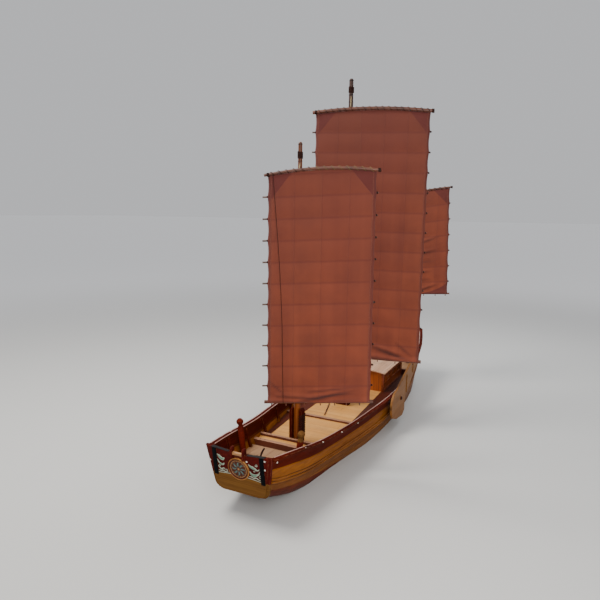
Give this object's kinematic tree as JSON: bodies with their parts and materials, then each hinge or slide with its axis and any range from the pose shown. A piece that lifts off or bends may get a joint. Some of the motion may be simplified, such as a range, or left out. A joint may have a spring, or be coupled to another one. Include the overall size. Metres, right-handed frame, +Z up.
{
  "type": "chinese junk ship",
  "caption": "Three-masted flat-bottomed junk with battened square-cut sails, hollow deckhouse, transom rudder and leeboards, sails and rudder turning.",
  "frame": {"origin": "on the centre line amidships, on the underside of the flat bottom", "axes": "+X to the bow, +Y to port, +Z up; the loaded waterline is at z = 0.30 m"},
  "size_m": [12.202, 3.7231, 10.05],
  "materials": {
    "bottom_wood": "oiled dark red-brown planking",
    "side_wood": "tung-oiled orange-brown planking",
    "maroon_paint": "worn dark maroon paint",
    "red_paint": "red paint",
    "gold_paint": "gold-brown paint",
    "deck_wood": "pale scrubbed boards",
    "spar_wood": "oiled spar timber",
    "board_wood": "light tan oiled board",
    "sailcloth": "tanned red-brown cotton"
  },
  "bodies": {
    "root": {"bottom_planking": "bottom_wood", "side_planking_port": "side_wood", "side_planking_starboard": "side_wood", "bulwark_port_aft": "maroon_paint", "bulwark_port_fore": "maroon_paint", "bulwark_starboard_aft": "maroon_paint", "bulwark_starboard_fore": "maroon_paint", "bow_transom": "red_paint", "bow_medallion": "gold_paint", "stern_transom": "side_wood", "fore_deck": "deck_wood", "hatch_board": "deck_wood", "mast_deck": "deck_wood", "main_deck": "deck_wood", "aft_deck": "deck_wood", "deck_beam_fore": "spar_wood", "deck_beam_mast": "spar_wood", "deck_beam_waist": "spar_wood", "break_beam": "spar_wood", "bitt_port": "red_paint", "bitt_starboard": "red_paint", "fore_mast_step": "maroon_paint", "main_mast_step": "maroon_paint", "mizzen_mast_step": "maroon_paint", "fore_mast": "spar_wood", "main_mast": "spar_wood", "mizzen_mast": "spar_wood", "cabin_front": "side_wood", "cabin_back": "side_wood", "cabin_side_port": "side_wood", "cabin_side_starboard": "side_wood", "cabin_roof": "deck_wood", "stern_gallery": "maroon_paint"},
    "fore_rig": {"fore_sail": "sailcloth", "fore_boom": "spar_wood", "fore_yard": "spar_wood"},
    "main_rig": {"main_sail": "sailcloth", "main_boom": "spar_wood", "main_yard": "spar_wood"},
    "mizzen_rig": {"mizzen_sail": "sailcloth", "mizzen_boom": "spar_wood", "mizzen_yard": "spar_wood"},
    "steering": {"rudder": "bottom_wood", "tiller": "spar_wood"},
    "port_board": {"leeboard_port": "board_wood"},
    "starboard_board": {"leeboard_starboard": "board_wood"},
    "door": {"cabin_door": "side_wood"},
    "roller": {"bow_roller": "spar_wood"}
  },
  "joints": [
    {"name": "fore_sail_swing", "type": "hinge", "parent": "root", "child": "fore_rig", "pos_m": [3.18, 0, 1.9], "axis": [0, 0, 1], "range_deg": [-20, 160]},
    {"name": "main_sail_swing", "type": "hinge", "parent": "root", "child": "main_rig", "pos_m": [0.1, 0, 2.2], "axis": [0, 0, 1], "range_deg": [-20, 160]},
    {"name": "mizzen_sail_swing", "type": "hinge", "parent": "root", "child": "mizzen_rig", "pos_m": [-4.65, 0.76, 3.6], "axis": [0, 0, 1], "range_deg": [-20, 160]},
    {"name": "rudder_turn", "type": "hinge", "parent": "root", "child": "steering", "pos_m": [-5.3365, 0, 0.07], "axis": [-0.2516, 0, 0.9678], "range_deg": [-35, 35]},
    {"name": "leeboard_port_swing", "type": "hinge", "parent": "root", "child": "port_board", "pos_m": [-0.62, 1.509, 1.11], "axis": [0, 1, 0], "range_deg": [-8, 45]},
    {"name": "leeboard_starboard_swing", "type": "hinge", "parent": "root", "child": "starboard_board", "pos_m": [-0.62, -1.509, 1.11], "axis": [0, 1, 0], "range_deg": [-8, 45]},
    {"name": "cabin_door_swing", "type": "hinge", "parent": "root", "child": "door", "pos_m": [-1.4754, 0.262, 1.2], "axis": [0, 0, 1], "range_deg": [0, 100]},
    {"name": "bow_roller_spin", "type": "hinge", "parent": "root", "child": "roller", "pos_m": [5.84, 0, 1.7], "axis": [0, 1, 0], "continuous": true}
  ]
}
